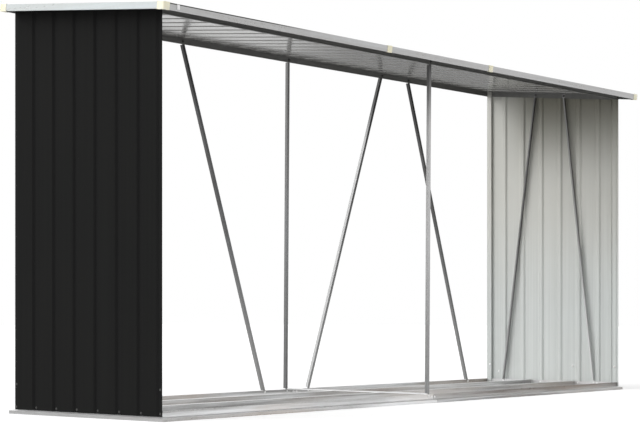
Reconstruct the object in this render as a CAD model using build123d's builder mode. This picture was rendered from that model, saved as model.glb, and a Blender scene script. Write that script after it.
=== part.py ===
# Log store: a long open frame of folded sheet steel with two ribbed end walls and a mono-pitch roof
# Millimetres, Z up, X along the length, Y from the low eave side to the high side
import os
from math import cos, radians, sin, tan

from build123d import *

os.makedirs("parts", exist_ok=True)

# Overall sizes
roof_length = 3300
side_overhang = 50
base_depth = 796
total_height = 1520
roof_pitch = 5.6
eave_overhang = 54

# Sheet thicknesses
rail_sheet = 1.0
beam_sheet = 1.0
panel_sheet = 0.8
angle_sheet = 1.2
trim_sheet = 0.8
cap_wall = 1.2

# Clearances
side_clearance = 0.3
back_clearance = 0.3

# Floor rails
rail_line = 20
rail_height = 36
lip_height = 12
ledge_height = 16
ledge_start = 9
foot_width = 34
hem_width = 2.2
hem_drop = 5
rail_joint = 35
joint_plate_length = 44
joint_plate_height = 14
inner_rail_width = 30
inner_rail_flange = 10
cross_bar_place = -12
cross_bar_width = 13
cross_bar_lip = 5

# Ribbed sheets
rib_pitch = 110
groove_pitch = 108.6
rib_depth = 7
rib_flat = 18
rib_flank = 7
roof_edge_to_rib = 40
ribs_to_a_sheet = 6

# Upper frame
beam_height = 25
beam_flange = 8
top_angle_flange = 12

# Posts and braces
corner_post_recess = 3
corner_post_leg = 26
corner_post_return = 6
bar_face = 14
bar_flange = 13
bar_corner = 3
bar_end_tab = 22
bolt_to_bar_end = 10
bar_bolt_height = 28
bar_bolt_drop = 13
front_post_foot = 2
back_post_foot = -18
post_lean = 15
bay_brace_head = 106
inner_brace_foot = 149
outer_brace_foot = 198
front_end_brace_foot = 149
front_end_brace_head = 80
back_end_brace_foot = 120
back_end_brace_head = 85

# Roof trim and its caps
trim_height = 25
trim_flange = 34
trim_lip = 6
trim_bend = 1.8
middle_trim_length = 726
joint_cap_length = 31
corner_cap_leg = 31
cap_flange = 30
cap_lip = 9

# Places that follow from the sizes
half_length = roof_length / 2 - side_overhang
roof_front = -(base_depth + eave_overhang) / 2
base_front = roof_front + eave_overhang
base_back = base_front + base_depth
base_middle = (base_front + base_back) / 2
pitch_rise = sin(radians(roof_pitch))
pitch_run = cos(radians(roof_pitch))
wall_inset = rail_line - panel_sheet - rib_depth
wall_back = base_back - wall_inset
rib_top = cap_wall + trim_sheet
pan_underside = rib_top + panel_sheet + rib_depth
beam_to_trim = rib_top * pitch_run - pan_underside * pitch_rise + back_clearance
roof_slope = (wall_back - roof_front + beam_to_trim) / pitch_run
eave_height = total_height - roof_slope * pitch_rise
inner_face = rail_line + rail_sheet

ALONG = Vector(1, 0, 0)
BACKWARD = Vector(0, 1, 0)
UP = Vector(0, 0, 1)

roof_plane = Plane(
    origin=(0, roof_front, eave_height), x_dir=ALONG, z_dir=(0, -pitch_rise, pitch_run)
)
underside_plane = roof_plane.offset(-pan_underside)


def underside_height(y):
    """Height of the roof pans' underside above the floor at the place y"""
    return underside_plane.origin.Z + (y - underside_plane.origin.Y) * tan(radians(roof_pitch))


def section_plane(start, inward, up=UP):
    """Plane of a section whose x runs inward from the outline and whose y runs up"""
    return Plane(origin=start, x_dir=inward, z_dir=inward.cross(up))


def folded_section(plane, points, thickness):
    """Section of a folded strip, drawn along the middle of its sheet"""
    with BuildSketch(plane) as section:
        with BuildLine():
            Polyline(*points)
        trace(line_width=thickness)
    return section.sketch


def mitre(corner, along, inward):
    """Cut the strip that starts at a corner to the diagonal of that corner"""
    split(bisect_by=Plane(origin=corner, z_dir=along - inward), keep=Keep.TOP)


def save(part, name):
    """Name a finished piece and write it to its file"""
    part.label = name
    export_step(part, f"parts/{name}.step")


# Floor rails: a stepped strip with a foot on the ground, a ledge for the wall sheet and an upstand
rail_middle = rail_sheet / 2
upstand_middle = rail_line + rail_middle
rail_points = [
    (foot_width, rail_middle),
    (rail_middle, rail_middle),
    (rail_middle, lip_height),
    (ledge_start, ledge_height - rail_middle),
    (upstand_middle, ledge_height - rail_middle),
    (upstand_middle, rail_height),
]
front_left = Vector(-half_length, base_front, 0)
front_right = Vector(half_length, base_front, 0)
back_right = Vector(half_length, base_back, 0)
back_left = Vector(-half_length, base_back, 0)


def hem_points(side):
    """Middle line of the hem on top of an upstand, folded outward for -1 and inward for 1"""
    fold = upstand_middle + side * hem_width
    top = rail_height - rail_middle
    return [(upstand_middle + side * rail_middle, top), (fold, top), (fold, rail_height - hem_drop)]


long_rails = {
    "front_rail_left": (front_left, ALONG, BACKWARD, half_length + rail_joint, -1),
    "front_rail_right": (front_right, -ALONG, BACKWARD, half_length - rail_joint, -1),
    "back_rail_left": (back_left, ALONG, -BACKWARD, half_length + rail_joint, 1),
    "back_rail_right": (back_right, -ALONG, -BACKWARD, half_length - rail_joint, 1),
}
for name, (corner, run, inward, length, hem_side) in long_rails.items():
    plane = section_plane(corner, inward)
    with BuildPart() as long_rail:
        section = folded_section(plane, rail_points, rail_sheet)
        extrude(section, amount=length * plane.z_dir.dot(run))
        mitre(corner, run, inward)
        hem_plane = section_plane(corner + run * inner_face, inward)
        hem = folded_section(hem_plane, hem_points(hem_side), rail_sheet)
        extrude(hem, amount=(length - inner_face) * hem_plane.z_dir.dot(run))
    save(long_rail.part, name)

side_rails = {
    "left_side_rail": (front_left, ALONG),
    "right_side_rail": (front_right, -ALONG),
}
for name, (corner, inward) in side_rails.items():
    plane = section_plane(corner, inward)
    with BuildPart() as side_rail:
        section = folded_section(plane, rail_points, rail_sheet)
        extrude(section, amount=base_depth * plane.z_dir.dot(BACKWARD))
        mitre(corner, BACKWARD, inward)
        mitre(corner + BACKWARD * base_depth, -BACKWARD, inward)
    save(side_rail.part, name)

# Joint plates behind the upstands, where the halves of the long rails meet
with BuildPart() as rail_joint_plates:
    for edge, inward in ((base_front, BACKWARD), (base_back, -BACKWARD)):
        plate_place = edge + inward.Y * (inner_face + angle_sheet / 2)
        with BuildSketch(Plane.XY.offset(ledge_height)):
            with Locations((rail_joint, plate_place)):
                Rectangle(joint_plate_length, angle_sheet)
        extrude(amount=joint_plate_height)
save(rail_joint_plates.part, "rail_joint_plates")

# Inner rails: open channels with their feet turned out, standing on the side rails' feet
inner_rail_reach = half_length - inner_face
inner_rail_spacing = (base_depth - 2 * inner_face) / 3
inner_rail_points = [
    (-inner_rail_width / 2 - inner_rail_flange, rail_sheet + rail_middle),
    (-inner_rail_width / 2 + rail_middle, rail_sheet + rail_middle),
    (-inner_rail_width / 2 + rail_middle, rail_height - rail_middle),
    (inner_rail_width / 2 - rail_middle, rail_height - rail_middle),
    (inner_rail_width / 2 - rail_middle, rail_sheet + rail_middle),
    (inner_rail_width / 2 + inner_rail_flange, rail_sheet + rail_middle),
]
for name, side in (("inner_rail_front", -1), ("inner_rail_back", 1)):
    start = Vector(-inner_rail_reach, base_middle + side * inner_rail_spacing / 2, 0)
    with BuildPart() as inner_rail:
        section = folded_section(section_plane(start, BACKWARD), inner_rail_points, rail_sheet)
        extrude(section, amount=2 * inner_rail_reach)
    save(inner_rail.part, name)

# Cross bar: a shallow tray over the inner rails, its ends on the upstands beside the posts' feet
bar_middle = angle_sheet / 2
cross_bar_points = [
    (-cross_bar_width / 2 + bar_middle, rail_height + cross_bar_lip),
    (-cross_bar_width / 2 + bar_middle, rail_height + bar_middle),
    (cross_bar_width / 2 - bar_middle, rail_height + bar_middle),
    (cross_bar_width / 2 - bar_middle, rail_height + cross_bar_lip),
]
cross_bar_reach = base_depth - 2 * rail_line
cross_bar_start = Vector(cross_bar_place, base_back - rail_line, 0)
with BuildPart() as centre_cross_bar:
    section = folded_section(section_plane(cross_bar_start, ALONG), cross_bar_points, angle_sheet)
    extrude(section, amount=cross_bar_reach)
save(centre_cross_bar.part, "centre_cross_bar")


def ribbed_points(length, rib_centres, level):
    """Middle line of a ribbed sheet from 0 to length, where either edge may lie on a rib"""
    crest = rib_flat / 2
    foot = crest + rib_flank
    top = level + rib_depth
    starts_on_rib = rib_centres[0] <= crest
    ends_on_rib = length - rib_centres[-1] <= crest
    points = []
    for centre in rib_centres:
        points += [(centre - foot, level), (centre - crest, top)]
        points += [(centre + crest, top), (centre + foot, level)]
    inner_points = [(place, height) for place, height in points if 0 < place < length]
    return [(0, top if starts_on_rib else level), *inner_points, (length, top if ends_on_rib else level)]


# End walls: upright ribbed sheets whose grooves lie on the rail's upstand and on the top angle.
# The last pan is narrower, and one sheet is the other one turned round.
wall_depth = base_depth - wall_inset - inner_face
wall_gaps = round((wall_depth - rib_flat) / groove_pitch)
groove_centres = [rib_flat / 2 + groove_pitch * index for index in range(wall_gaps)]
groove_centres.append(wall_depth - rib_flat / 2)
wall_line = half_length - wall_inset
wall_points = ribbed_points(wall_depth, groove_centres, panel_sheet / 2)
end_walls = {
    "left_wall": (Vector(-wall_line, base_back - wall_inset, ledge_height), -BACKWARD),
    "right_wall": (Vector(wall_line, base_front + wall_inset, ledge_height), BACKWARD),
}
for name, (start, run) in end_walls.items():
    with BuildPart() as end_wall:
        plane = Plane(origin=start, x_dir=run, z_dir=UP)
        extrude(folded_section(plane, wall_points, panel_sheet), amount=total_height)
        split(bisect_by=underside_plane, keep=Keep.BOTTOM)
    save(end_wall.part, name)

# Beams over the open sides: channels whose tops follow the roof, with their flanges away from the posts.
# The back beams' flanges stop short of the top angles.
beam_middle = beam_sheet / 2
beam_web = rail_line + beam_middle


def beam_points(edge, inward, flange_side):
    """Middle line of a beam's section, its flanges turned outward for -1 and inward for 1"""
    lips = beam_web + flange_side * (beam_middle + beam_flange)
    web_top = underside_height(edge + inward.Y * beam_web) - beam_middle
    lip_top = underside_height(edge + inward.Y * lips) - beam_middle
    web_bottom = web_top + beam_sheet - beam_height
    return [(lips, web_bottom), (beam_web, web_bottom), (beam_web, web_top), (lips, lip_top)]


beam_reach = half_length - rail_line
short_flange_reach = beam_reach - top_angle_flange - side_clearance
beams = {
    "front_beam_left": (base_front, BACKWARD, -ALONG, -1, beam_reach),
    "front_beam_right": (base_front, BACKWARD, ALONG, -1, beam_reach),
    "back_beam_left": (base_back, -BACKWARD, -ALONG, 1, short_flange_reach),
    "back_beam_right": (base_back, -BACKWARD, ALONG, 1, short_flange_reach),
}
for name, (edge, inward, run, flange_side, flange_reach) in beams.items():
    plane = section_plane(Vector(0, edge, 0), inward)
    points = beam_points(edge, inward, flange_side)
    with BuildPart() as beam:
        section = folded_section(plane, points, beam_sheet)
        extrude(section, amount=flange_reach * plane.z_dir.dot(run))
        web = folded_section(plane, [(beam_web, points[1][1] - beam_middle), points[2]], beam_sheet)
        extrude(web, amount=beam_reach * plane.z_dir.dot(run))
        split(bisect_by=underside_plane, keep=Keep.BOTTOM)
    save(beam.part, name)

# Sloping angles along the tops of the end walls, between the two beams
top_angle_points = [
    (rail_line + beam_middle, -beam_height),
    (rail_line + beam_middle, -beam_middle),
    (rail_line + top_angle_flange, -beam_middle),
]
slope_up = underside_plane.z_dir
slope_back = underside_plane.y_dir
underside_front = underside_plane.origin
for name, side in (("left_top_angle", -1), ("right_top_angle", 1)):
    inward = ALONG * -side
    start = underside_front + ALONG * (side * half_length)
    plane = section_plane(start, inward, slope_up)
    with BuildPart() as top_angle:
        section = folded_section(plane, top_angle_points, beam_sheet)
        extrude(section, amount=roof_slope * plane.z_dir.dot(slope_back))
        split(bisect_by=Plane(origin=(0, base_front + inner_face, 0), z_dir=BACKWARD), keep=Keep.TOP)
        split(bisect_by=Plane(origin=(0, base_back - inner_face, 0), z_dir=BACKWARD), keep=Keep.BOTTOM)
    save(top_angle.part, name)

# Corner posts: angles inside the walls' upright edges, from the rails' feet to the top angles, each
# with its narrow leg on the side away from the corner
corner_post_middle = inner_face + angle_sheet / 2
corner_posts = {
    "left_front_corner_post": (-1, base_front, BACKWARD),
    "left_back_corner_post": (-1, base_back, -BACKWARD),
    "right_front_corner_post": (1, base_front, BACKWARD),
    "right_back_corner_post": (1, base_back, -BACKWARD),
}
for name, (side, edge, inward) in corner_posts.items():
    leg_x = side * (half_length - corner_post_middle)
    leg_start = edge + inward.Y * (inner_face + corner_post_recess)
    bend_y = leg_start + inward.Y * (corner_post_leg - angle_sheet / 2)
    return_end = leg_x - side * (corner_post_return - angle_sheet / 2)
    post_points = [(leg_x, leg_start), (leg_x, bend_y), (return_end, bend_y)]
    with BuildPart() as corner_post:
        section = folded_section(Plane.XY.offset(rail_sheet), post_points, angle_sheet)
        extrude(section, amount=total_height)
        split(bisect_by=underside_plane.offset(-beam_sheet), keep=Keep.BOTTOM)
    save(corner_post.part, name)


def angle_bar(foot, head, inward):
    """Thin angle between two bolt places, with a flange that stops before its ends"""
    axis = (head - foot).normalized()
    across = inward.cross(axis)
    length = (head - foot).length + 2 * bolt_to_bar_end
    flange_start = foot + axis * (bar_end_tab - bolt_to_bar_end)
    flange_middle = -bar_face / 2 + bar_middle
    flange_points = [(flange_middle, 0), (flange_middle, bar_flange)]
    with BuildPart() as bar:
        with BuildSketch(Plane(origin=(foot + head) / 2, x_dir=across, z_dir=inward)):
            RectangleRounded(bar_face, length, bar_corner)
        extrude(amount=angle_sheet)
        plane = Plane(origin=flange_start, x_dir=across, z_dir=axis)
        extrude(folded_section(plane, flange_points, angle_sheet), amount=length - 2 * bar_end_tab)
    return bar.part


# Centre posts, leaning a little to the bolt by the beam joint: the front one stands inside the rail and
# the beam, the back one outside them
front_face = base_front + inner_face
back_face = base_back - rail_line
head_height = underside_height(back_face) - bar_bolt_drop
posts = {
    "front_post": (front_post_foot, front_face, underside_height(front_face) - bar_bolt_drop),
    "back_post": (back_post_foot, back_face, head_height),
}
for name, (foot_x, face, top) in posts.items():
    foot = Vector(foot_x, face, bar_bolt_height)
    head = Vector(foot_x + post_lean, face, top)
    save(angle_bar(foot, head, BACKWARD), name)

# Back braces outside the rail and the beam: one pair in each half, close together at the beam
bay_middle = (half_length - inner_face) / 2
back_braces = {
    "back_brace_left_outer": (outer_brace_foot - half_length, -bay_middle - bay_brace_head),
    "back_brace_left_inner": (back_post_foot - inner_brace_foot, -bay_middle + bay_brace_head),
    "back_brace_right_inner": (back_post_foot + inner_brace_foot, bay_middle - bay_brace_head),
    "back_brace_right_outer": (half_length - outer_brace_foot, bay_middle + bay_brace_head),
}
for name, (foot_x, head_x) in back_braces.items():
    foot = Vector(foot_x, back_face, bar_bolt_height)
    head = Vector(head_x, back_face, head_height)
    save(angle_bar(foot, head, BACKWARD), name)

# End braces: one pair inside each end wall, close together at the top angle
end_face = half_length - inner_face
end_braces = {
    "front": (base_front + front_end_brace_foot, base_middle - front_end_brace_head),
    "back": (base_back - back_end_brace_foot, base_middle + back_end_brace_head),
}
for end, side in (("left", -1), ("right", 1)):
    for place, (foot_y, head_y) in end_braces.items():
        foot = Vector(side * end_face, foot_y, bar_bolt_height)
        head = Vector(side * end_face, head_y, underside_height(head_y) - bar_bolt_drop)
        save(angle_bar(foot, head, ALONG * -side), f"{end}_wall_brace_{place}")

# Roof sheets: ribs run down the slope, and neighbouring sheets meet on a rib
rib_gaps = round((roof_length - 2 * roof_edge_to_rib) / rib_pitch)
roof_pitch_between_ribs = (roof_length - 2 * roof_edge_to_rib) / rib_gaps
sheet_edge = cap_wall + trim_sheet / 2 + trim_bend
seams = list(range(ribs_to_a_sheet, rib_gaps - 1, ribs_to_a_sheet))
pan_level = panel_sheet / 2
sheet_slope = roof_slope - 2 * sheet_edge


def rib_place(index):
    """Distance of a roof rib from the left edge of the roof"""
    return roof_edge_to_rib + index * roof_pitch_between_ribs


for index, (first, last) in enumerate(zip([None] + seams, seams + [None])):
    start = sheet_edge if first is None else rib_place(first)
    end = roof_length - sheet_edge if last is None else rib_place(last)
    ribs = range(first or 0, (last or rib_gaps) + 1)
    centres = [rib_place(rib) - start for rib in ribs]
    sheet_points = ribbed_points(end - start, centres, pan_level)
    sheet_start = underside_plane.from_local_coords(Vector(start - roof_length / 2, sheet_edge, 0))
    with BuildPart() as roof_sheet:
        plane = Plane(origin=sheet_start, x_dir=ALONG, z_dir=-slope_back)
        extrude(folded_section(plane, sheet_points, panel_sheet), amount=-sheet_slope)
    save(roof_sheet.part, f"roof_sheet_{index + 1}")


# Roof trim: a rolled channel over the sheets' edges, mitred at the corners
def trim_section(plane, outset, flange, lip, thickness, bend):
    """Section of the trim or of a cap over it, with bent or square corners"""
    middle = outset + thickness / 2
    bottom = -(2 * cap_wall + trim_height - middle)
    points = [(flange, -middle), (middle, -middle), (middle, bottom)]
    if lip:
        points.append((lip, bottom))
    with BuildSketch(plane) as section:
        with BuildLine():
            if bend:
                FilletPolyline(*points, radius=bend)
            else:
                Polyline(*points)
        trace(line_width=thickness)
    return section.sketch


def roof_corner(side_x, at_back):
    """Corner of the roof's outline on its top plane"""
    return roof_plane.from_local_coords(Vector(side_x * roof_length / 2, at_back * roof_slope, 0))


roof_front_left = roof_corner(-1, 0)
roof_front_right = roof_corner(1, 0)
roof_back_left = roof_corner(-1, 1)
roof_back_right = roof_corner(1, 1)
end_trim_length = (roof_length - middle_trim_length) / 2
edges = {
    "front": (roof_front_left, roof_front_right, slope_back, trim_lip, cap_lip),
    "back": (roof_back_left, roof_back_right, -slope_back, 0, 0),
}
for edge, (left_corner, right_corner, inward, lip, _) in edges.items():
    trims = {
        f"{edge}_trim_left": (left_corner, ALONG, end_trim_length, True),
        f"{edge}_trim_middle": (left_corner + ALONG * end_trim_length, ALONG, middle_trim_length, False),
        f"{edge}_trim_right": (right_corner, -ALONG, end_trim_length, True),
    }
    for name, (start, run, length, at_corner) in trims.items():
        plane = section_plane(start, inward, slope_up)
        with BuildPart() as long_trim:
            section = trim_section(plane, cap_wall, trim_flange, lip, trim_sheet, trim_bend)
            extrude(section, amount=length * plane.z_dir.dot(run))
            if at_corner:
                mitre(start, run, inward)
        save(long_trim.part, name)

side_trims = {
    "left_trim": (roof_front_left, roof_back_left, ALONG),
    "right_trim": (roof_front_right, roof_back_right, -ALONG),
}
for name, (front_corner, back_corner, inward) in side_trims.items():
    plane = section_plane(front_corner, inward, slope_up)
    with BuildPart() as side_trim:
        section = trim_section(plane, cap_wall, trim_flange, trim_lip, trim_sheet, trim_bend)
        extrude(section, amount=roof_slope * plane.z_dir.dot(slope_back))
        mitre(front_corner, slope_back, inward)
        mitre(back_corner, -slope_back, inward)
    save(side_trim.part, name)

# Plastic caps over the trim's joints and corners
with BuildPart() as trim_joint_caps:
    for left_corner, _, inward, _, lip in edges.values():
        for joint in (end_trim_length, end_trim_length + middle_trim_length):
            run = inward.cross(slope_up)
            start = left_corner + ALONG * joint - run * (joint_cap_length / 2)
            plane = section_plane(start, inward, slope_up)
            section = trim_section(plane, 0, cap_flange, lip, cap_wall, 0)
            extrude(section, amount=joint_cap_length)
save(trim_joint_caps.part, "trim_joint_caps")

with BuildPart() as roof_corner_caps:
    for corner, along, inward in (
        (roof_front_left, ALONG, slope_back),
        (roof_front_right, slope_back, -ALONG),
        (roof_back_right, -ALONG, -slope_back),
        (roof_back_left, -slope_back, ALONG),
    ):
        start = corner + inward * corner_cap_leg
        with BuildLine() as cap_path:
            Polyline(start, corner, corner + along * corner_cap_leg)
        section = trim_section(section_plane(start, along, slope_up), 0, cap_flange, cap_lip, cap_wall, 0)
        sweep(section, path=cap_path.wires()[0], transition=Transition.RIGHT)
save(roof_corner_caps.part, "roof_corner_caps")
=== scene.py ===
"""Looks of the log store: materials, fasteners, floor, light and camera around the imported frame."""
import math

import bmesh
import bpy
from mathutils import Matrix, Vector


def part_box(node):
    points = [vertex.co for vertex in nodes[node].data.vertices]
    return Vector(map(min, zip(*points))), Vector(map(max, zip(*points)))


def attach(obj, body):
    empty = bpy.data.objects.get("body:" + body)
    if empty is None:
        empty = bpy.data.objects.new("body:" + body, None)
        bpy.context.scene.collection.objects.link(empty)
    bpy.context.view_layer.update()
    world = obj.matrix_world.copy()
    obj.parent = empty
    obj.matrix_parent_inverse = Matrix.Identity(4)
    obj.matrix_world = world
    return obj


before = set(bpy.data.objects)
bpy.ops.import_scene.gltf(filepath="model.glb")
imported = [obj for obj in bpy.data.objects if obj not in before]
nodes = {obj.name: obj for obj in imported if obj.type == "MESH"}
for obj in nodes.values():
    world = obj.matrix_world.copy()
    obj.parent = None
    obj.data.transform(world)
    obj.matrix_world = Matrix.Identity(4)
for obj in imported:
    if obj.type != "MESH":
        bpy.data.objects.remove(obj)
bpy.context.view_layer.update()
scene = bpy.context.scene

MM = 0.001
X, Y, Z = Vector((1, 0, 0)), Vector((0, 1, 0)), Vector((0, 0, 1))
EVEN = (1, 1, 1)
WHITE = (1, 1, 1, 1)

# Camera: level, at knee height, seen from the front left
camera_data = bpy.data.cameras.new("camera")
camera_data.sensor_width = 36
camera_data.lens = 97.81
camera_data.shift_y = 0.152
camera_data.clip_end = 200
camera = bpy.data.objects.new("camera", camera_data)
camera.location = (-5.907, -4.561, 0.3855)
camera.rotation_euler = (math.radians(90), 0, math.radians(-50.961))
scene.collection.objects.link(camera)
scene.camera = camera
scene.view_settings.view_transform = "Standard"


class Recipe:
    """Node tree of one material or world, built by short calls"""

    def __init__(self, owner):
        owner.use_nodes = True
        self.tree = owner.node_tree
        self.tree.nodes.clear()

    def add(self, kind, inputs=(), **settings):
        node = self.tree.nodes.new(kind)
        for key, value in settings.items():
            setattr(node, key, value)
        for key, value in dict(inputs).items():
            socket = node.inputs[key]
            if isinstance(value, bpy.types.NodeSocket):
                self.tree.links.new(value, socket)
            else:
                socket.default_value = value
        return node

    def math(self, operation, *values):
        inputs = dict(enumerate(values))
        return self.add("ShaderNodeMath", inputs, operation=operation).outputs[0]

    def mix(self, factor, first, second):
        inputs = {0: factor, 6: first, 7: second}
        return self.add("ShaderNodeMix", inputs, data_type="RGBA").outputs[2]

    def span(self, value, low, high, to_low=0.0, to_high=1.0, smooth=False):
        """Value mapped from low..high to to_low..to_high, clamped at both ends"""
        kind = "SMOOTHSTEP" if smooth else "LINEAR"
        inputs = {
            "Value": value, "From Min": low, "From Max": high,
            "To Min": to_low, "To Max": to_high,
        }
        return self.add("ShaderNodeMapRange", inputs, interpolation_type=kind).outputs[0]

    def toward(self, vector, axis):
        inputs = {0: vector, 1: tuple(axis)}
        return self.add("ShaderNodeVectorMath", inputs, operation="DOT_PRODUCT").outputs["Value"]

    def place(self, scale=EVEN):
        at = self.add("ShaderNodeTexCoord").outputs["Object"]
        return self.add("ShaderNodeMapping", {"Vector": at, "Scale": scale}).outputs[0]

    def along(self, axis):
        return self.toward(self.place(), axis)

    def normal(self):
        return self.add("ShaderNodeNewGeometry").outputs["Normal"]

    def noise(self, stretch, scale, detail=3.0, roughness=0.5, distortion=0.0):
        inputs = {
            "Vector": self.place(stretch), "Scale": scale, "Detail": detail,
            "Roughness": roughness, "Distortion": distortion,
        }
        return self.add("ShaderNodeTexNoise", inputs).outputs[0]

    def bump(self, height, strength, distance):
        inputs = {"Height": height, "Strength": strength, "Distance": distance}
        return self.add("ShaderNodeBump", inputs).outputs[0]

    def surface(self, **values):
        inputs = {key.replace("_", " "): value for key, value in values.items()}
        shader = self.add("ShaderNodeBsdfPrincipled", inputs)
        self.add("ShaderNodeOutputMaterial", {"Surface": shader.outputs[0]})


def level(value, warm=0.0, green=0.0):
    """Linear colour of an sRGB grey from 0 to 255, a little warmer or greener where asked"""
    def linear(part):
        part = min(max(part, 0), 255) / 255
        return part / 12.92 if part <= 0.04045 else ((part + 0.055) / 1.055) ** 2.4
    return (linear(value + warm), linear(value + green), linear(value - warm), 1)


def new_recipe(name):
    material = bpy.data.materials.new(name)
    return material, Recipe(material)


# Coated sheets: anthracite on the weather side, pale grey-green on the inner side, with painted shade
# at the front top and painted light in the grooves
WEATHER_ROUGHNESS = 0.75
WEATHER_EDGE = -0.1, -0.02
MIDDLE_HEIGHTS, FRONT_TOP_SHADE_HEIGHTS = (0.35, 1.0), (1.0, 1.5)
FRONT_TOP_SHADE_DEPTHS = 0.38, 0.05


def coated_sheet(name, outward, along, pale_levels, groove_light=None, rough=0.45, shine=0.2):
    """outward points to the weather side, and None has none. pale_levels are the pale side's
    (streak low, streak high, cloud), the tint from halfway up, and the front top's painted shade.
    Groove light is (start, floor) of the sunk lines along outward, where painted light fills them."""
    inner, middle, upper = pale_levels
    material, recipe = new_recipe(name)
    normal = recipe.normal()
    outside = recipe.span(recipe.toward(normal, outward), *WEATHER_EDGE) if outward else 0.0
    streaks = recipe.noise(along, 1.0, detail=4, roughness=0.6)
    cloud = recipe.noise(EVEN, 2.3, detail=3)
    peel = recipe.noise(EVEN, 620, detail=2)
    dark = recipe.mix(recipe.span(streaks, 0.3, 0.7), level(17), level(21, 0, 1))
    dark = recipe.mix(recipe.span(cloud, 0.35, 0.75, 0, 0.35), dark, level(23, 1, 0))
    if groove_light:
        # Painted light: the groove floors get a lighter grey in place of their shade
        dark = recipe.mix(recipe.span(recipe.along(outward), *groove_light), dark, level(23))
        # Painted shading: flanks that face along the depth get their own grey by the way they face
        flank_shading = recipe.span(recipe.math("ABSOLUTE", recipe.toward(normal, Y)), 0.15, 0.5)
        dark = recipe.mix(flank_shading, dark, level(30))
    pale = recipe.mix(recipe.span(streaks, 0.3, 0.7), inner[0], inner[1])
    pale = recipe.mix(recipe.span(cloud, 0.4, 0.8, 0, 0.4), pale, inner[2])
    halfway = recipe.span(recipe.along(Z), *MIDDLE_HEIGHTS, 0, 0.8, smooth=True)
    pale = recipe.mix(halfway, pale, middle)
    # Painted shade: the pale side darkens at the front top, in place of the shade under the roof
    high = recipe.span(recipe.along(Z), *FRONT_TOP_SHADE_HEIGHTS, 0, 1, smooth=True)
    forward = recipe.span(recipe.along(Y), *FRONT_TOP_SHADE_DEPTHS, 0.0, 1, smooth=True)
    pale = recipe.mix(recipe.math("MULTIPLY", high, forward), pale, upper)
    grain = recipe.span(outside, 0, 1, rough, WEATHER_ROUGHNESS)
    height = recipe.math("MULTIPLY_ADD", streaks, 2.0, peel)
    recipe.surface(
        Base_Color=recipe.mix(outside, pale, dark),
        Roughness=recipe.math("MULTIPLY_ADD", peel, 0.1, grain),
        Specular_IOR_Level=shine, Normal=recipe.bump(height, 0.12, 0.4 * MM),
    )
    return material


# Pale side levels: streaks and cloud, the tint from halfway up, and the painted shade at the front
# top
wall_levels = (
    (level(201, -1, 3), level(216, -1, 3), level(196, 1, 2)),
    level(201, 4, 3), level(126, 7, 5),
)
roof_levels = (
    (level(164, 2, 0), level(174, 1, 1), level(154, 3, 0)),
    level(154, 2, 1), level(154, 2, 1),
)
WALL_STREAKS, ROOF_STREAKS = (9, 90, 0.9), (60, 1.2, 9)
wall_groove_light = 1.5878, 1.581
left_wall_coat = coated_sheet(
    "anthracite_coat_left", -X, WALL_STREAKS, wall_levels, wall_groove_light, shine=0.12,
)
right_wall_coat = coated_sheet(
    "anthracite_coat_right", X, WALL_STREAKS, wall_levels, wall_groove_light,
)
corner_coat = coated_sheet("pale_coat_corner_posts", None, WALL_STREAKS, wall_levels)
roof_coat = coated_sheet(
    "anthracite_coat_roof", Z, ROOF_STREAKS, roof_levels, rough=0.12, shine=1.0,
)

# Zinc: crystals of the coating, rolling streaks and soft stains over a grey metal, with painted light
# and shade on some faces, feet and heads
CRYSTALS = 95
PAINTED_FOOT_HEIGHTS, HEAD_SHADE_HEIGHTS = (0.05, 0.9), (1.12, 1.38)
LINE_BELOW_EDGE = 3.4 * MM, 2.4 * MM
LINE_FADE_SPAN = -1.15, -0.75
LINE_LEVEL = 60


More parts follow.
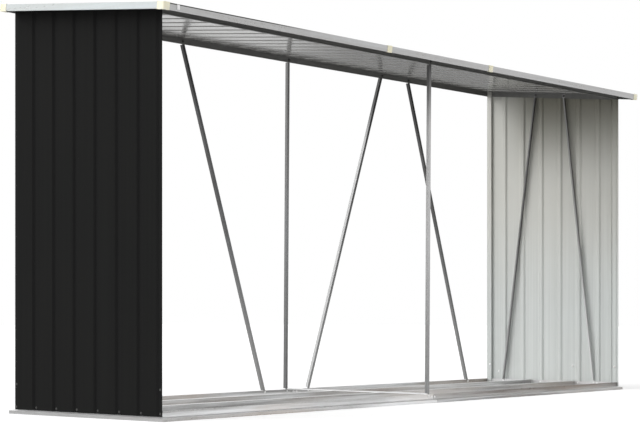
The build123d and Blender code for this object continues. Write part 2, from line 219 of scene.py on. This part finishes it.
def zinc(
    name, base, along, metallic=0.9, rough=0.42, contrast=20, tint=0.0,
    low=0, cool=0, lit=None, head_shade=None, edge_line=None,
):
    """base is the grey level and contrast the strength of the streaks. tint warms the stains, cool
    the whole, and low paints a bar's foot lighter as a painted floor reflection, darker as painted
    shade.
    lit (direction, least cosine, level) paints light on the faces that look one way, the head shade
    is the level of painted shade on a bar's head, and the edge line is the height of an edge with a
    darker line under it, fading out to the right."""
    material, recipe = new_recipe(name)
    inputs = {"Vector": recipe.place(), "Scale": CRYSTALS}
    crystals = recipe.add("ShaderNodeTexVoronoi", inputs).outputs["Color"]
    crystal = recipe.add("ShaderNodeSeparateColor", {0: crystals}).outputs[0]
    streaks = recipe.noise(along, 1.0, detail=5, roughness=0.62)
    stains = recipe.noise([part ** 0.5 for part in along], 1.1, detail=3, distortion=0.4)
    scratch = recipe.noise([part * 9 for part in along], 1.0, detail=2)
    colour = recipe.mix(
        recipe.span(streaks, 0.38, 0.62),
        level(base - contrast, 1 - cool, cool), level(base + contrast, -1 - cool, cool),
    )
    stain = level(base - contrast / 2, 2 + tint - cool, cool - 1)
    colour = recipe.mix(recipe.span(stains, 0.45, 0.72, 0, 0.55), colour, stain)
    # Painted light and shade at a bar's foot: a lighter foot is a painted reflection of the floor, a
    # darker one painted shade
    if low:
        foot = recipe.span(recipe.along(Z), *PAINTED_FOOT_HEIGHTS, 1, 0, smooth=True)
        shade = recipe.mix(streaks, level(base + low - contrast), level(base + low + contrast))
        colour = recipe.mix(foot, colour, shade)
    # Painted light: faces that look one way get a lighter grey
    if lit:
        facing, cosine, bright = lit
        lit_faces = recipe.span(recipe.toward(recipe.normal(), facing), cosine - 0.05, cosine)
        shade = recipe.mix(streaks, level(bright - 8), level(bright + 8))
        colour = recipe.mix(lit_faces, colour, shade)
    colour = recipe.mix(recipe.span(crystal, 0, 1, 0, 0.1), colour, level(base + 34, -3, 1))
    # Painted shade on a bar's head, where the roof's shadow falls
    if head_shade:
        head = recipe.span(recipe.along(Z), *HEAD_SHADE_HEIGHTS, 0, 0.9, smooth=True)
        colour = recipe.mix(head, colour, level(head_shade))
    # A darker line under the edge, fading out to the right
    if edge_line:
        start, full = (edge_line - below for below in LINE_BELOW_EDGE)
        edge = recipe.span(recipe.along(Z), start, full)
        fade = recipe.span(recipe.along(X), *LINE_FADE_SPAN, 1, 0, smooth=True)
        colour = recipe.mix(recipe.math("MULTIPLY", edge, fade), colour, level(LINE_LEVEL))
    grain = recipe.span(streaks, 0.3, 0.7, rough - 0.06, rough + 0.08)
    height = recipe.math("MULTIPLY_ADD", streaks, 3.0, scratch)
    recipe.surface(
        Base_Color=colour, Metallic=metallic,
        Roughness=recipe.math("MULTIPLY_ADD", crystal, 0.05, grain),
        Normal=recipe.bump(height, 0.12, 0.4 * MM),
    )
    return material


ALONG_X, ALONG_Y, ALONG_Z = (1.1, 42, 42), (42, 1.1, 42), (42, 42, 1.1)
# lit paints light on the rails' upward faces and on the back braces' faces that look up and left
long_rail_zinc = zinc(
    "rail_zinc_long", 206, ALONG_X, rough=0.3, contrast=36, tint=12, lit=(Z, 0.7, 238),
)
right_rail_zinc = zinc(
    "rail_zinc_front_right", 160, ALONG_X, rough=0.32, contrast=50, tint=12, lit=(Z, 0.7, 226),
)
inner_rail_zinc = zinc(
    "rail_zinc_inner", 188, ALONG_X, rough=0.32, contrast=38, tint=12, lit=(Z, 0.7, 230),
)
left_rail_zinc = zinc("rail_zinc_left", 172, ALONG_Y, contrast=12, lit=(Z, 0.7, 244))
side_zinc = zinc("rail_zinc_side", 212, ALONG_Y, contrast=16)
bar_zinc = zinc("cross_bar_zinc", 238, ALONG_Y, metallic=0.5, contrast=8)
front_zinc = zinc("front_post_zinc", 196, ALONG_Z, contrast=12, low=-50, head_shade=84)
back_zinc = zinc("back_post_zinc", 130, ALONG_Z, contrast=10, low=-14)
up_and_left = Vector((-0.94, 0, 0.34))
back_brace_zinc = zinc(
    "back_brace_zinc", 98, ALONG_Z, contrast=10, low=50, lit=(up_and_left, 0.96, 206), head_shade=70,
)
front_brace_zinc = zinc("end_brace_zinc_front", 146, ALONG_Z, contrast=10, low=72)
end_brace_zinc = zinc("end_brace_zinc_back", 118, ALONG_Z, contrast=10, low=46)
trim_zinc = zinc("trim_zinc_long", 190, ALONG_X, rough=0.3, contrast=14)
eave_points = [vertex.co for vertex in nodes["front_trim_left"].data.vertices]
eave_face = min(point.y for point in eave_points) + 0.2 * MM
eave_edge = max(point.z for point in eave_points if point.y < eave_face)
eave_zinc = zinc("trim_zinc_eave", 190, ALONG_X, rough=0.3, contrast=8, edge_line=eave_edge)
end_trim_zinc = zinc("trim_zinc_ends", 211, ALONG_Y, rough=0.3, contrast=4, cool=3)
bright_zinc = zinc("bright_zinc", 246, (30, 30, 30), metallic=0.2, rough=0.3, contrast=6)


def satin_paint(name, base):
    """Satin paint of the beams and of the screws in the walls"""
    material, recipe = new_recipe(name)
    cloud = recipe.noise((1.2, 30, 30), 1.0, detail=4)
    peel = recipe.noise(EVEN, 480, detail=2)
    shades = level(base - 5, 1, 1), level(base + 6, 1, 1)
    recipe.surface(
        Base_Color=recipe.mix(recipe.span(cloud, 0.3, 0.7), *shades),
        Roughness=recipe.span(peel, 0.3, 0.7, 0.36, 0.46),
        Specular_IOR_Level=0.5, Normal=recipe.bump(peel, 0.1, 0.3 * MM),
    )
    return material


beam_paint = satin_paint("beam_paint", 108)
screw_paint = satin_paint("screw_paint", 66)


def cream_plastic():
    """Cream plastic of the caps, slightly mottled"""
    material, recipe = new_recipe("cream_plastic")
    cloud = recipe.noise(EVEN, 35, detail=3)
    peel = recipe.noise(EVEN, 700, detail=2)
    creams = (0.93, 0.87, 0.64, 1), (0.97, 0.93, 0.75, 1)
    recipe.surface(
        Base_Color=recipe.mix(recipe.span(cloud, 0.3, 0.7), *creams),
        Roughness=recipe.span(peel, 0.3, 0.7, 0.38, 0.5),
        Subsurface_Weight=0.12, Subsurface_Radius=(0.01, 0.008, 0.004), Subsurface_Scale=0.4,
        Normal=recipe.bump(peel, 0.08, 0.3 * MM),
    )
    return material


# Material of each node of the frame: the first row whose words are in the node's name, and
# the walls by their whole name, because braces carry the word wall too
wall_coats = {"left_wall": left_wall_coat, "right_wall": right_wall_coat}
finishes = (
    ("roof_sheet", roof_coat), ("caps", cream_plastic()),
    ("left_trim", end_trim_zinc), ("right_trim", end_trim_zinc),
    ("front_trim", eave_zinc), ("_trim", trim_zinc),
    ("beam", beam_paint), ("top_angle", beam_paint),
    ("wall_brace_front", front_brace_zinc), ("wall_brace_back", end_brace_zinc),
    ("back_brace", back_brace_zinc), ("corner_post", corner_coat),
    ("front_post", front_zinc), ("back_post", back_zinc),
    ("left_side_rail", left_rail_zinc), ("right_side_rail", side_zinc),
    ("cross_bar", bar_zinc), ("front_rail_right", right_rail_zinc),
    ("inner_rail", inner_rail_zinc), ("back_rail", inner_rail_zinc),
    ("rail", long_rail_zinc),
)
for name, node in nodes.items():
    finish = wall_coats.get(name) or next(coat for words, coat in finishes if words in name)
    node.data.materials.clear()
    node.data.materials.append(finish)
    bevel = node.modifiers.new("soft_edges", "BEVEL")
    bevel.width = 0.3 * MM
    bevel.segments = 2
    bevel.limit_method = "ANGLE"
    bevel.angle_limit = math.radians(30)
    bevel.harden_normals = True

# Fasteners: domed cross-head screws and bolts, hexagon nuts and washers. Each profile is
# (height, radius) of its rings in mm.
SIDES = 24
CROSS_DEPTH = 0.9
SCREW_WASHER = (0, 4.4), (0.5, 4.4), (0.7, 4.1)
SCREW_HEAD = (0.7, 3.4), (1.2, 3.3), (1.9, 2.8), (2.3, 1.9), (2.3, 1.5), (1.7, 0.5)
BOLT_WASHER = (0, 5.6), (0.8, 5.6), (1.0, 5.3)
BOLT_HEAD = (1.0, 4.6), (2.0, 4.5), (3.0, 3.9), (3.6, 2.6), (3.6, 2.1), (2.7, 0.6)
NUT_WASHER = (0, 5.4), (0.8, 5.4)
NUT_BODY, NUT_FLATS = ((0.8, 4.6), (3.6, 4.6), (4.2, 3.6)), 8
NUT_TIP = (4.2, 2.3), (6.2, 2.3), (6.7, 1.8)
# Plates of the clip: low, high, half width and half height in mm, and their taper
CLIP_PLATES = (0, 0.9, 6.5, 9), (0.9, 1.5, 4.5, 7)
CLIP_TAPER = 0.94, 0.96


def shell(mesh, place, profile, flats=None, cross=False):
    """Closed shell of rings round the local Z axis. A ring with flats is trimmed to a hexagon."""
    rings = []
    for index, (height, radius) in enumerate(profile):
        ring = []
        for step in range(SIDES):
            angle = 2 * math.pi * step / SIDES
            reach = radius
            if flats:
                reach = min(radius, flats / 2 / math.cos(angle % (math.pi / 3) - math.pi / 6))
            notched = cross and index >= len(profile) - 2 and step % 6 == 0
            depth = CROSS_DEPTH if notched else 0
            point = Vector((reach * math.cos(angle), reach * math.sin(angle), height - depth))
            ring.append(mesh.verts.new(place @ (point * MM)))
        rings.append(ring)
    for lower, upper in zip(rings, rings[1:]):
        wall_faces(mesh, lower, upper)
    mesh.faces.new(reversed(rings[0]))
    mesh.faces.new(rings[-1])


def wall_faces(mesh, lower, upper):
    """Faces between two rings of as many points"""
    for step in range(len(lower)):
        after = (step + 1) % len(lower)
        mesh.faces.new((lower[step], lower[after], upper[after], upper[step]))


def screw(mesh, place):
    shell(mesh, place, SCREW_WASHER)
    shell(mesh, place, SCREW_HEAD, cross=True)


def bolt(mesh, place):
    shell(mesh, place, BOLT_WASHER)
    shell(mesh, place, BOLT_HEAD, cross=True)


def nut(mesh, place):
    shell(mesh, place, NUT_WASHER)
    shell(mesh, place, NUT_BODY, flats=NUT_FLATS)
    shell(mesh, place, NUT_TIP)


def clip(mesh, place):
    """Small plastic clip: a plate with a raised middle"""
    for low, high, half_width, half_height in CLIP_PLATES:
        corners = [
            (-half_width, -half_height), (half_width, -half_height),
            (half_width, half_height), (-half_width, half_height),
        ]
        rings = []
        for height, (narrow, short) in ((low, (1, 1)), (high, CLIP_TAPER)):
            points = [Vector((x * narrow, y * short, height)) * MM for x, y in corners]
            rings.append([mesh.verts.new(place @ point) for point in points])
        mesh.faces.new(reversed(rings[0]))
        mesh.faces.new(rings[1])
        wall_faces(mesh, *rings)


def fasteners(name, kind, places, finish=bright_zinc):
    """One piece of many fasteners: places are (point in metres, direction it stands up in)"""
    mesh = bmesh.new()
    for point, direction in places:
        turn = Vector(direction).to_track_quat("Z", "Y").to_matrix().to_4x4()
        kind(mesh, Matrix.Translation(point) @ turn)
    data = bpy.data.meshes.new(name)
    mesh.to_mesh(data)
    mesh.free()
    data.materials.append(finish)
    piece = bpy.data.objects.new(name, data)
    scene.collection.objects.link(piece)
    for face in data.polygons:
        face.use_smooth = True
    data.set_sharp_from_angle(angle=math.radians(35))
    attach(piece, "root")


# Sizes shared with the source, in metres
rail_line, rail_height = 20 * MM, 36 * MM
rail_sheet, panel_sheet, angle_sheet, cap_sheet = 1 * MM, 0.8 * MM, 1.2 * MM, 1.2 * MM
rib_flat = 18 * MM
rib_rise = 6.2 * MM
groove_pitch = 108.6 * MM
wall_pans = 7
roof_pitch = math.radians(5.6)
roof_ribs, roof_edge_to_rib = 30, 40 * MM
# From a bar's bolt to the middle of its rounded corners, along and across the bar
bolt_along, bolt_across, bar_corner = 7 * MM, 4 * MM, 3 * MM
LEAN_ROUNDS = 3

base_low, base_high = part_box("left_side_rail")
half_length = -base_low.x
front_upstand = base_low.y + rail_line
back_upstand = base_high.y - rail_line
rail_inner_face = half_length - rail_line - rail_sheet
post_inner_face = rail_inner_face - angle_sheet

# Screws of the end walls: a row into the rail and a higher one at each corner post
row_height, corner_height = 26 * MM, 110 * MM
corner_nut_inset = 12 * MM


def groove_places(wall):
    """Middles of a wall's grooves along the depth, from the sheet's wide pans to its narrow one"""
    low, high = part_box(wall)
    edge = rib_flat / 2
    start, turn = (high.y, -1) if wall == "left_wall" else (low.y, 1)
    places = [start + turn * (edge + groove_pitch * index) for index in range(wall_pans)]
    return places + [start + turn * (high.y - low.y - edge)]


for side, wall in ((-1, "left_wall"), (1, "right_wall")):
    outer = side * (half_length - rail_line + panel_sheet)
    inner, post_inner = side * rail_inner_face, side * post_inner_face
    grooves = groove_places(wall)
    corners = min(grooves), max(grooves)
    spots = [(y, row_height) for y in grooves] + [(y, corner_height) for y in corners]
    fasteners(
        f"{wall}_screws", screw, [((outer, y, z), X * side) for y, z in spots],
        finish=screw_paint,
    )
    nuts = [((inner, y, row_height), X * -side) for y in sorted(grooves)[1:-1]]
    for y in corners:
        inset = corner_nut_inset if y < 0 else -corner_nut_inset
        nuts.append(((post_inner, y + inset, corner_height), X * -side))
    fasteners(f"{wall}_nuts", nut, nuts)

# The bolts that the photo shows inside the right wall: two in its pans and one in its front post
pan_face = half_length - rail_line + panel_sheet + rib_rise
right_bolts = (
    (pan_face, -0.098, 0.11), (pan_face, 0.335, 0.075), (post_inner_face, -0.335, 0.03),
)
fasteners("right_wall_bolts", bolt, [(spot, -X) for spot in right_bolts])


def bar_bolts(name):
    """Middles of a bar's two bolts, from the box round the bar and the way it leans. The lean
    and the bolts' distances from the box depend on each other, so a few rounds settle them."""
    low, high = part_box(name)
    axis = 1 if "wall" in name else 0
    points = [vertex.co for vertex in nodes[name].data.vertices]
    lowest, highest = min(points, key=lambda p: p.z), max(points, key=lambda p: p.z)
    forward = highest[axis] > lowest[axis]
    wide, tall = high[axis] - low[axis], high.z - low.z
    lean = math.atan2(wide, tall)
    for _ in range(LEAN_ROUNDS):
        sideways = bolt_along * math.sin(lean) + bolt_across * math.cos(lean) + bar_corner
        upward = bolt_along * math.cos(lean) + bolt_across * math.sin(lean) + bar_corner
        lean = math.atan2(wide - 2 * sideways, tall - 2 * upward)
    ends = (low[axis] + sideways, high[axis] - sideways)
    foot, head = ends if forward else ends[::-1]
    return (foot, low.z + upward), (head, high.z - upward)


# Bolts and nuts at both ends of each bar: the lower ones bright, the upper ones dark
BETWEEN_ENDS = 0.5
heads, nuts, top_heads, top_nuts = [], [], [], []
for name in nodes:
    behind = name.startswith("back_brace") or name == "back_post"
    if not (behind or name == "front_post" or "wall_brace" in name):
        continue
    for across, height in bar_bolts(name):
        low_end = height < BETWEEN_ENDS
        some_heads, some_nuts = (heads, nuts) if low_end else (top_heads, top_nuts)
        if behind:
            some_heads.append(((across, back_upstand + angle_sheet, height), Y))
            some_nuts.append(((across, back_upstand - rail_sheet, height), -Y))
        elif name == "front_post":
            back_face = front_upstand + rail_sheet + angle_sheet
            some_heads.append(((across, front_upstand, height), -Y))
            some_nuts.append(((across, back_face, height), Y))
        else:
            side = -1 if name.startswith("left") else 1
            some_heads.append(((side * post_inner_face, across, height), X * -side))

# Bolts of the rail joints and of the cross bar
joint_low, joint_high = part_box("rail_joint_plates")
joint_middle = (joint_low.x + joint_high.x) / 2
joint_bolt_height, joint_bolt_offset = 23 * MM, 10 * MM
for offset in (-joint_bolt_offset, joint_bolt_offset):
    for upstand, outward in ((front_upstand, -Y), (back_upstand, Y)):
        inner = upstand - outward.y * (rail_sheet + angle_sheet)
        heads.append(((joint_middle + offset, upstand, joint_bolt_height), outward))
        nuts.append(((joint_middle + offset, inner, joint_bolt_height), -outward))
cross_low, cross_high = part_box("centre_cross_bar")
cross_middle = (cross_low.x + cross_high.x) / 2
for name in ("inner_rail_front", "inner_rail_back"):
    low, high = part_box(name)
    heads.append(((cross_middle, (low.y + high.y) / 2, rail_height + angle_sheet), Z))
fasteners("frame_bolts", bolt, heads)
fasteners("frame_nuts", nut, nuts)
fasteners("beam_bolts", bolt, top_heads, finish=screw_paint)
fasteners("beam_nuts", nut, top_nuts, finish=screw_paint)

# Screws through the roof's ribs over both beams
roof_low, roof_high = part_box("left_trim")
roof_normal = Vector((0, -math.sin(roof_pitch), math.cos(roof_pitch)))
first_rib = roof_low.x - cap_sheet + roof_edge_to_rib
rib_step = -2 * first_rib / (roof_ribs - 1)
back_inset, front_drop = 8 * MM, 0.8 * MM
roof_places = []
for index in range(roof_ribs):
    x = first_rib + index * rib_step
    for y, drop in ((front_upstand, front_drop), (back_upstand - back_inset, 0)):
        z = roof_high.z - (roof_high.y - y) * math.tan(roof_pitch) - drop
        roof_places.append(((x, y, z), roof_normal))
fasteners("roof_screws", screw, roof_places, finish=screw_paint)

# Clip on the front trim beside its left corner cap
clip_x, clip_rise = -1.576, 14 * MM
trim_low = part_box("front_trim_left")[0]
fasteners("trim_clip", clip, [((clip_x, trim_low.y, trim_low.z + clip_rise), -Y)])

# Floor: pale and plain. In mirrors it glows, apart from a part behind the store, to the right
# of a line that lies fixed on the floor.
FLOOR_HALF = 30
FLOOR_SHOWN, FLOOR_MIRRORED = 0.63, 0.5
SIDEWAYS, SIDE_DIMMING = (0.63, -0.777, 0), (-1.65, -0.9)
BEHIND_DIMMING = 1.0, 3.0


def make_floor():
    mesh = bmesh.new()
    bmesh.ops.create_grid(mesh, x_segments=8, y_segments=8, size=FLOOR_HALF)
    data = bpy.data.meshes.new("floor")
    mesh.to_mesh(data)
    mesh.free()
    floor = bpy.data.objects.new("floor", data)
    scene.collection.objects.link(floor)
    material, recipe = new_recipe("studio_floor")
    path = recipe.add("ShaderNodeLightPath").outputs
    side = recipe.span(recipe.along(SIDEWAYS), *SIDE_DIMMING, smooth=True)
    behind = recipe.span(recipe.along(Y), *BEHIND_DIMMING, smooth=True)
    lit = recipe.math("SUBTRACT", 1.0, recipe.math("MULTIPLY", side, behind))
    mirrored = recipe.math("MULTIPLY", path["Is Glossy Ray"], lit)
    mirrored = recipe.math("MULTIPLY", mirrored, FLOOR_MIRRORED)
    shown = recipe.math("MULTIPLY_ADD", path["Is Camera Ray"], FLOOR_SHOWN, mirrored)
    grain = recipe.noise(EVEN, 90, detail=2)
    recipe.surface(
        Base_Color=recipe.mix(grain, (0.60, 0.60, 0.60, 1), (0.63, 0.63, 0.63, 1)),
        Roughness=0.9, Specular_IOR_Level=0.1,
        Emission_Color=WHITE, Emission_Strength=shown,
    )
    data.materials.append(material)


make_floor()

# Soft lights as lobes of the world: back left, left and front, with their strengths
LIGHTS = (
    ((-0.641, 0.641, 0.423), 5.2),
    ((-0.966, 0, 0.259), 2.2),
    ((0, -0.866, 0.5), 3.6),
)
LOBE_SHARPNESS = 10.0
world = bpy.data.worlds.new("studio")
scene.world = world
recipe = Recipe(world)
path = recipe.add("ShaderNodeLightPath").outputs
direction = recipe.add("ShaderNodeTexCoord").outputs["Generated"]
strength = 0.0
for axis, power in LIGHTS:
    lobe = recipe.math("MAXIMUM", recipe.toward(direction, axis), 0.0)
    lobe = recipe.math("POWER", lobe, LOBE_SHARPNESS)
    strength = recipe.math("MULTIPLY_ADD", lobe, power, strength)
soft = recipe.add("ShaderNodeBackground", {"Color": WHITE, "Strength": strength})

# White backdrop, dimmer in mirrors that look to the front and to the far right end
away = recipe.toward(direction, (0.629, -0.777, 0))
rise = recipe.math("ABSOLUTE", recipe.toward(direction, Z))
left_edge = recipe.span(away, -0.04, 0.01, smooth=True)
right_edge = recipe.span(away, 0.5, 0.75, 1.0, 0.0, smooth=True)
band = recipe.span(rise, 0.1, 0.3, 0.85, 0.0, smooth=True)
far_end = recipe.math("MULTIPLY", recipe.math("MULTIPLY", left_edge, right_edge), band)
front = recipe.span(recipe.toward(direction, -Y), -0.1, 0.45, 1.0, 0.88, smooth=True)
mirrored = recipe.math("MULTIPLY", recipe.math("SUBTRACT", 1.0, far_end), front)
backdrop = recipe.math("MAXIMUM", mirrored, path["Is Camera Ray"])
white = recipe.add("ShaderNodeBackground", {"Color": WHITE, "Strength": backdrop})
shown = recipe.math("MAXIMUM", path["Is Camera Ray"], path["Is Glossy Ray"])
shown = recipe.math("MAXIMUM", shown, path["Is Transmission Ray"])
both = recipe.add("ShaderNodeMixShader", {0: shown, 1: soft.outputs[0], 2: white.outputs[0]})
recipe.add("ShaderNodeOutputWorld", {"Surface": both.outputs[0]})
